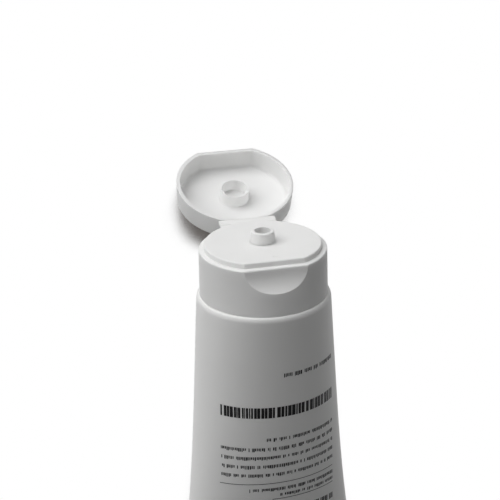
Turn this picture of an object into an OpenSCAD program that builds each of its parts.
// Squeeze tube with a flip-top cap, lying on its back and propped up by its open lid.
// Every piece is drawn upright around the tube's own axis, with the cap's ledge at height 0
// and the thumb scoop towards -Y. The last step lays the whole tube down on the floor.

/* [Sleeve] */
// Radius of the sleeve where it is round
tube_r = 22.5; // [21:0.5:25]
// Length of the sleeve, from its shoulder edge to the crimped end
sleeve_l = 140; // [120:1:170]
// Thickness of the sleeve's film
sleeve_wall = 0.6; // [0.4:0.1:0.8]
// Length of the crimped seal
crimp_l = 6; // [4:0.5:10]
// Thickness of the crimped seal, two films pressed together
crimp_t = 1; // [0.8:0.1:1.6]
// Share of its roundness that the sleeve loses evenly along its length
steady_taper = 0.4; // [0.2:0.05:0.6]
// How late the sleeve closes towards the seal, a high power keeps it full for longer
closing_power = 4; // [2:0.5:6]
// Width of the rounded edge where the sleeve turns in over the head
turn_in = 1; // [0.6:0.1:1.6]
// Height of that rounded edge
turn_h = 2; // [1.2:0.1:3]
// Width of the flat rim that the sleeve folds in under the cap
flange_w = 1.8; // [1:0.1:2.4]

/* [Head] */
// Thickness of the moulded disc that closes the sleeve
head_t = 1.5; // [1:0.1:2.5]
// Outer radius of the neck
neck_r = 9; // [7:0.5:11]
// Radius of the neck's bore
neck_bore_r = 7; // [5:0.5:8]
// Height of the neck above the disc
neck_h = 11; // [8:0.5:13]
// Height of the snap bead that stands out from the neck
bead_out = 0.4; // [0.2:0.1:0.6]

/* [Cap] */
// Height of the cap from its foot to the ledge that the lid closes on
cap_h = 15.6; // [14:0.2:20]
// Step from the sleeve's full radius in to the cap's foot
shoulder_step = 1.05; // [0.8:0.05:2]
// Draft of the cap's side, foot radius less ledge radius
cap_draft = 0.25; // [0:0.05:0.6]
// Thickness of the cap's skirt
cap_wall = 1.35; // [1:0.05:1.8]
// Depth of the front flat, measured in from the ledge's round edge
front_flat_in = 2.7; // [1.5:0.1:4]
// Height of the thumb scoop below the ledge
scoop_h = 7.9; // [5:0.1:10]
// Height of the raised land on top of the cap
land_h = 1.8; // [1:0.1:2.4]
// Thickness of the cap's top under the land
deck_t = 1.4; // [1:0.1:2]
// Rounding of the cap's and lid's small outer edges
edge_round = 0.4; // [0.2:0.05:0.6]
// Radius of the round corners of the front flat
flat_corner_r = 2; // [1:0.1:3]

/* [Nozzle] */
// Height of the nozzle above the land
nozzle_h = 4; // [3:0.1:4.4]
// Radius of the nozzle at its top
nozzle_top_r = 3.85; // [3.3:0.05:3.9]
// Radius of the nozzle above its foot
nozzle_foot_r = 4.15; // [3.9:0.05:4.3]
// Rounding of the nozzle's foot and of the ring's foot
foot_round = 0.5; // [0.3:0.1:0.8]
// Radius of the outlet
outlet_r = 2.7; // [1:0.05:2.8]

/* [Lid] */
// Outer height of the lid
lid_h = 8.5; // [8:0.1:11]
// Step from the cap's ledge edge in to the lid's rim
lid_step = 0.2; // [0:0.05:0.5]
// Draft of the lid's side, rim radius less top radius
lid_draft = 0.25; // [0:0.05:0.6]
// Thickness of the lid's side wall
lid_wall = 1.35; // [1:0.05:1.8]
// Thickness of the lid's top
lid_top_t = 1.2; // [0.8:0.1:1.6]
// Rounding of the lid's outer top edge
lid_round = 1.3; // [0.6:0.1:1.6]
// Rounding of the lid's inner corner
lid_cove = 1; // [0.5:0.1:1.5]
// Height of the sealing ring inside the lid
ring_h = 4.5; // [3:0.1:4.8]
// Thickness of the sealing ring
ring_wall = 0.7; // [0.5:0.05:1]
// Gap between the sealing ring and the nozzle's foot radius
ring_gap = 0.3; // [0.2:0.05:0.5]

/* [Hinge] */
// Width of the hinge plates
hinge_w = 20; // [14:0.5:24]
// Thickness of the hinge plates
hinge_plate_t = 1.1; // [0.8:0.1:1.6]
// Distance of the fold line behind the cap's ledge edge
hinge_out = 0.9; // [0.5:0.05:1.2]
// Radius of the thin round fold line
fold_r = 0.3; // [0.25:0.05:0.4]
// Opening of the lid from closed, in degrees
open_angle = 159; // [150:1:165]

/* [Gel] */
// Length of the empty stretch between the gel and the crimped seal
headspace_l = 20; // [5:1:40]

/* [Clearances] */
// Gap between the closed lid's rim and the ledge
lid_seat_gap = 0.15; // [0.1:0.05:0.3]
// Gap between the lid's wall and the raised land
land_gap = 0.25; // [0.2:0.05:0.4]
// Gap between the fold line and the lid's hinge plate
fold_gap = 0.1; // [0.08:0.02:0.2]
// Gap between the cap's foot and the sleeve's rim
skirt_gap = 0.1; // [0.05:0.05:0.3]
// Gap between the neck and the collar around it
neck_gap = 0.1; // [0.05:0.05:0.2]
// Gap between the head's disc and the sleeve around it
head_gap = 0.2; // [0.1:0.05:0.3]
// Gap between the gel and the film around it
gel_gap = 0.15; // [0.1:0.05:0.3]

/* [Hidden] */
$fn = 96;
white_plastic = "#F2F2F0";
film_white = "#E9E9E7";
gel_colour = "#DDE6E4";
sliver = 0.01;

// Radii that follow from the steps between the pieces
cap_foot_r = tube_r - shoulder_step;
cap_r = cap_foot_r - cap_draft;
cap_flat = cap_r - front_flat_in;
lid_r = cap_r - lid_step;
lid_flat = lid_r - front_flat_in;
lid_in_r = lid_r - lid_wall;
lid_in_flat = lid_flat - lid_wall;
land_r = lid_in_r - land_gap;
land_flat = lid_in_flat - land_gap;
ring_in_r = nozzle_foot_r + ring_gap;
ring_out_r = ring_in_r + ring_wall;

// Heights along the tube's axis
ceiling_z = land_h - deck_t;
sleeve_top_z = -cap_h - skirt_gap;
disc_top_z = sleeve_top_z - sleeve_wall;
neck_top_z = disc_top_z + neck_h;
lid_top_z = lid_seat_gap + lid_h;
lid_floor_z = lid_top_z - lid_top_t;
nozzle_top_z = land_h + nozzle_h;

// Fold line of the living hinge
hinge_y = cap_r + hinge_out;
hinge_z = lid_seat_gap / 2;

// Flattening of the sleeve: an oval whose way round stays that of the round end
RING_POINTS = 60;
BODY_STEPS = 18;
TURN_STEPS = 4;
SEAL_SQUARENESS = 8;
closing_l = sleeve_l - crimp_l;
inner_end_margin = 1.5;
round_way = 2 * PI * tube_r;

function oval_way(a, b) = PI * (3 * (a + b) - sqrt((3 * a + b) * (a + 3 * b)));
function oval_width(b, a, rounds) =
    rounds == 0 ? a : oval_width(b, a + (round_way - oval_way(a, b)) / 3.6, rounds - 1);
function closing(s) = steady_taper * s + (1 - steady_taper) * pow(s, closing_power);
function half_depth(d) = crimp_t / 2 + (tube_r - crimp_t / 2) * (1 - closing(min(d / closing_l, 1)));
function half_width(d) = oval_width(half_depth(d), tube_r, 24);
function squareness(d) = 2 + (SEAL_SQUARENESS - 2) * pow(min(d / closing_l, 1), 10);

// How far the rounded edge draws the sleeve in at a depth below its top
function turn_draw(d) = d >= turn_h ? 0 : turn_in * (1 - sqrt(1 - pow(1 - d / turn_h, 2)));

// One ring of the sleeve at depth d, drawn in by an inset on all sides
function ring(d, inset) =
    let (a = half_width(d) - turn_draw(d) - inset,
         b = max(half_depth(d) - turn_draw(d) - inset, 0.2),
         n = squareness(d))
    oval_ring(a, b, n, sleeve_top_z - d);
function oval_ring(a, b, n, z) =
    [for (i = [0 : RING_POINTS - 1])
        let (c = cos(360 * i / RING_POINTS), s = sin(360 * i / RING_POINTS))
        [a * c, sign(s) * b * pow(max(1 - pow(abs(c), n), 0), 1 / n), z]];
function body_depth(i) = turn_h + (closing_l - turn_h) * i / BODY_STEPS;

// A closed skin over a list of rings, with a flat face on the first and the last
module ring_skin(rings) {
    n = RING_POINTS;
    last = len(rings) - 1;
    sides = [for (k = [0 : last - 1], i = [0 : n - 1])
        let (j = (i + 1) % n, low = k * n, high = (k + 1) * n)
        each [[low + i, high + i, high + j], [low + i, high + j, low + j]]];
    bottom = [for (i = [0 : n - 1]) i];
    top = [for (i = [n - 1 : -1 : 0]) last * n + i];
    polyhedron([for (r = rings) each r], concat([bottom], sides, [top]), convexity = 6);
}

// Outlines seen from above: a circle with a flat on the thumb side
module flat_outline(r, flat, corner = flat_corner_r) {
    x = sqrt(pow(r - corner, 2) - pow(flat - corner, 2));
    difference() {
        circle(r = r);
        translate([-r, -flat - r]) square([2 * r, r]);
        for (side = [-1, 1]) corner_waste(side * x, corner - flat, r, corner);
    }
}

// What the round corner of the flat leaves off, between its two touching points
module corner_waste(x, y, r, corner) {
    out = r / (r - corner);
    difference() {
        polygon([[x, y], [x * out, y * out], [x * out * 1.2, (y - corner) * 1.2], [x, y - corner]]);
        translate([x, y]) circle(r = corner);
    }
}

// A long bar along X whose end section is drawn in the YZ plane
module along_x(length) {
    rotate([90, 0, 90]) translate([0, 0, -length / 2]) linear_extrude(length) children();
}

// What a rounding leaves off a square edge at (y, z), open towards -Y and +Z
module edge_waste(y, z, round) {
    along_x(3 * tube_r) difference() {
        translate([y - round, z - round]) square([2 * round, 2 * round]);
        translate([y + round, z - round]) circle(r = round);
        translate([y + round, z - 3 * round]) square([2 * round, 6 * round]);
        translate([y - 2 * round, z - 3 * round]) square([6 * round, 2 * round]);
    }
}

// What a small two-faced bevel leaves off the same kind of edge, where the face below it is curved
module bevel_waste(y, z, c) {
    along_x(3 * tube_r)
        polygon([[y + 1.7 * c, z + 0.3 * c], [y + 0.3 * c, z - 0.3 * c], [y - 0.3 * c, z - 1.7 * c],
                 [y - 2 * c, z - 1.7 * c], [y - 2 * c, z + 0.3 * c]]);
}

// A disc or frustum with a rounded upper edge
module round_frustum(foot_r, top_r, foot_z, top_z, round) {
    rotate_extrude() {
        polygon([[0, foot_z], [foot_r, foot_z], [top_r, top_z - round],
                 [top_r - round, top_z], [0, top_z]]);
        translate([top_r - round, top_z - round]) circle(r = round);
    }
}

// A fillet around a post, on a floor at height 0
module foot_fillet(post_r, round) {
    rotate_extrude() difference() {
        translate([post_r - sliver, 0]) square([round + sliver, round]);
        translate([post_r + round, round]) circle(r = round);
    }
}

// Extruded film, welded to the head at one end and pressed flat at the other
module sleeve_shape() {
    outer = concat(
        [ring(sleeve_l, 0)],
        [for (i = [BODY_STEPS : -1 : 0]) ring(body_depth(i), 0)],
        [for (i = [1 : TURN_STEPS]) ring(turn_h * (1 - sin(90 * i / TURN_STEPS)), 0)]);
    flange_r = tube_r - turn_in - flange_w;
    flange = [oval_ring(flange_r, flange_r, 2, sleeve_top_z),
              oval_ring(flange_r, flange_r, 2, disc_top_z)];
    inner = concat(
        [ring(sleeve_wall, sleeve_wall)],
        [for (i = [0 : BODY_STEPS - 1]) ring(body_depth(i), sleeve_wall)],
        [ring(closing_l - inner_end_margin, sleeve_wall)]);
    ring_skin(concat(outer, flange, inner));
}

// Moulded disc and neck inside the cap, with a bead that the cap snaps over
module head_shape() {
    head_r = tube_r - turn_draw(sleeve_wall) - sleeve_wall - head_gap;
    bead_z = neck_top_z - 3;
    rotate_extrude() difference() {
        union() {
            translate([0, disc_top_z - head_t]) square([head_r, head_t]);
            translate([0, disc_top_z - sliver]) square([neck_r, neck_h + sliver]);
            polygon([[neck_r - sliver, bead_z - bead_out], [neck_r + bead_out, bead_z],
                     [neck_r - sliver, bead_z + 2 * bead_out]]);
        }
        translate([-sliver, disc_top_z - head_t - sliver])
            square([neck_bore_r + sliver, neck_h + head_t + 2 * sliver]);
    }
}

// The gel that the closed tube holds
module gel_shape() {
    start_d = sleeve_wall + head_t + skirt_gap;
    end_d = closing_l - headspace_l;
    inside = [for (i = [BODY_STEPS : -1 : 0]) if (body_depth(i) < end_d && body_depth(i) > start_d) i];
    inset = sleeve_wall + gel_gap;
    ring_skin(concat(
        [ring(end_d, inset)],
        [for (i = inside) ring(body_depth(i), inset)],
        [ring(start_d, inset)]));
}

// Outside of the cap, with the flat and the thumb scoop hollowed out below it
module cap_outside() {
    scoop_reach = cap_foot_r - cap_flat;
    scoop_r = (pow(scoop_h, 2) + pow(scoop_reach, 2)) / (2 * scoop_reach);
    difference() {
        round_frustum(cap_foot_r, cap_r, -cap_h, 0, edge_round);
        translate([0, -cap_flat - scoop_r, 0]) rotate([0, 90, 0])
            cylinder(r = scoop_r, h = 3 * tube_r, center = true);
        bevel_waste(-cap_flat, 0, edge_round);
    }
}

// Hollow under the cap's top, narrower behind the scoop
module cap_hollow() {
    inner_r = cap_r - cap_wall;
    scoop_floor = scoop_h + cap_wall;
    difference() {
        translate([0, 0, -cap_h - 1]) cylinder(r = inner_r, h = cap_h - deck_t + 1);
        translate([-inner_r, -2 * inner_r - cap_flat + cap_wall, -scoop_floor])
            cube([2 * inner_r, 2 * inner_r, scoop_floor]);
    }
    translate([0, 0, -deck_t - 1])
        linear_extrude(1 + deck_t + ceiling_z) flat_outline(land_r - deck_t, land_flat - deck_t);
}

// Raised land with a rounded edge, its outline cut a little wide so that no two round faces coincide
module land_shape() {
    wide = 0.05;
    difference() {
        intersection() {
            round_frustum(land_r, land_r, -deck_t, land_h, edge_round);
            translate([0, 0, -2 * deck_t])
                linear_extrude(3 * deck_t + land_h) flat_outline(land_r + wide, land_flat);
        }
        bevel_waste(-land_flat, land_h, edge_round);
    }
}

// Nozzle on the land, and the outlet through it
module nozzle_shape() {
    translate([0, 0, land_h - sliver]) foot_fillet(nozzle_foot_r, foot_round);
    round_frustum(nozzle_foot_r, nozzle_top_r, land_h - sliver, nozzle_top_z, edge_round);
}

// Collar that snaps over the neck's bead, and the seal that dips into its bore
module collar_shape() {
    collar_in = neck_r + neck_gap;
    collar_low_z = disc_top_z + 2;
    bead_z = neck_top_z - 3;
    seal_out = neck_bore_r - neck_gap;
    seal_low_z = neck_top_z - 1.5;
    rotate_extrude() {
        difference() {
            translate([collar_in, collar_low_z]) square([cap_wall, ceiling_z - collar_low_z + sliver]);
            polygon([[collar_in - sliver, bead_z - bead_out - neck_gap],
                     [collar_in + bead_out, bead_z],
                     [collar_in - sliver, bead_z + 2 * bead_out + neck_gap]]);
        }
        translate([seal_out - 1, seal_low_z]) square([1, ceiling_z - seal_low_z + sliver]);
    }
}

// The cap's half of the living hinge, ending in the round fold line
module cap_hinge() {
    plate_back = hinge_y - fold_r - fold_gap;
    translate([-hinge_w / 2, land_r - deck_t, -hinge_plate_t])
        cube([hinge_w, plate_back - land_r + deck_t, hinge_plate_t]);
    translate([0, hinge_y, hinge_z]) rotate([0, 90, 0])
        cylinder(r = fold_r, h = hinge_w, center = true);
    along_x(hinge_w) polygon([[plate_back - sliver, -fold_r], [plate_back - sliver, 0],
                              [hinge_y, hinge_z], [hinge_y, hinge_z - fold_r]]);
}

module cap_shape() {
    difference() {
        union() {
            difference() {
                union() {
                    cap_outside();
                    land_shape();
                }
                cap_hollow();
            }
            nozzle_shape();
            collar_shape();
            cap_hinge();
        }
        translate([0, 0, ceiling_z - 1]) cylinder(r = outlet_r, h = nozzle_top_z - ceiling_z + 2);
    }
}

// The lid as it stands when closed
module lid_shape() {
    lid_top_r = lid_r - lid_draft;
    difference() {
        union() {
            difference() {
                round_frustum(lid_r, lid_top_r, lid_seat_gap, lid_top_z, lid_round);
                translate([-lid_r, -2 * lid_r, -1]) cube([2 * lid_r, 2 * lid_r - lid_flat, lid_h + 3]);
                edge_waste(-lid_flat, lid_top_z, lid_round);
                lid_hollow();
            }
            sealing_ring();
            lid_hinge();
        }
        translate([0, hinge_y, hinge_z]) rotate([0, 90, 0])
            cylinder(r = fold_r + fold_gap, h = hinge_w + 2, center = true);
    }
}

// The lid's hollow, with a cove between its wall and its floor
module lid_hollow() {
    difference() {
        intersection() {
            round_frustum(lid_in_r, lid_in_r, lid_seat_gap - 1, lid_floor_z, lid_cove);
            translate([0, 0, -1]) linear_extrude(lid_top_z + 1) flat_outline(lid_in_r, lid_in_flat);
        }
        edge_waste(-lid_in_flat, lid_floor_z, lid_cove);
    }
}

// Ring on the lid's floor that closes around the nozzle
module sealing_ring() {
    translate([0, 0, lid_floor_z]) mirror([0, 0, 1]) {
        foot_fillet(ring_out_r, foot_round);
        difference() {
            translate([0, 0, -sliver]) cylinder(r = ring_out_r, h = ring_h + sliver);
            translate([0, 0, -1]) cylinder(r = ring_in_r, h = ring_h + 2);
        }
    }
}

// The lid's half of the living hinge
module lid_hinge() {
    translate([-hinge_w / 2, lid_in_r, lid_seat_gap])
        cube([hinge_w, hinge_y - lid_in_r, hinge_plate_t]);
}

// Place of a point (y, z) of the lid once it has swung open about the fold line
function opened_y(y, z) = hinge_y + (y - hinge_y) * cos(open_angle) + (z - hinge_z) * sin(open_angle);
function opened_z(y, z) = hinge_z - (y - hinge_y) * sin(open_angle) + (z - hinge_z) * cos(open_angle);

// The tube lies on the corner of its seal and on the rounded front edge of the open lid
seal_y = crimp_t / 2;
seal_z = sleeve_top_z - sleeve_l;
prop_y = opened_y(lid_round - lid_flat, lid_top_z - lid_round);
prop_z = opened_z(lid_round - lid_flat, lid_top_z - lid_round);
prop_reach = norm([prop_y - seal_y, prop_z - seal_z]);
tilt = atan2(prop_y - seal_y, prop_z - seal_z) + asin(lid_round / prop_reach);

// Middle of the tube along the floor, and its height, in the laid-down direction
function laid_y(y, z) = y * sin(tilt) + z * cos(tilt);
function laid_z(y, z) = -y * cos(tilt) + z * sin(tilt);
front_reach = laid_y(opened_y(-lid_flat, lid_seat_gap), opened_z(-lid_flat, lid_seat_gap));
back_reach = laid_y(-seal_y, seal_z);
middle_y = (front_reach + back_reach) / 2;
floor_z = laid_z(seal_y, seal_z);

module laid_down() {
    translate([0, -middle_y, -floor_z]) rotate([tilt - 90, 0, 0]) children();
}

module swung_open() {
    translate([0, hinge_y, hinge_z]) rotate([-open_angle, 0, 0])
        translate([0, -hinge_y, -hinge_z]) children();
}

module tube_sleeve() { color(film_white) laid_down() sleeve_shape(); }
module tube_head() { color(white_plastic) laid_down() head_shape(); }
module gel_fill() { color(gel_colour) laid_down() gel_shape(); }
module cap_body() { color(white_plastic) laid_down() cap_shape(); }
module flip_lid() { color(white_plastic) laid_down() swung_open() lid_shape(); }

tube_sleeve();
tube_head();
gel_fill();
cap_body();
flip_lid();
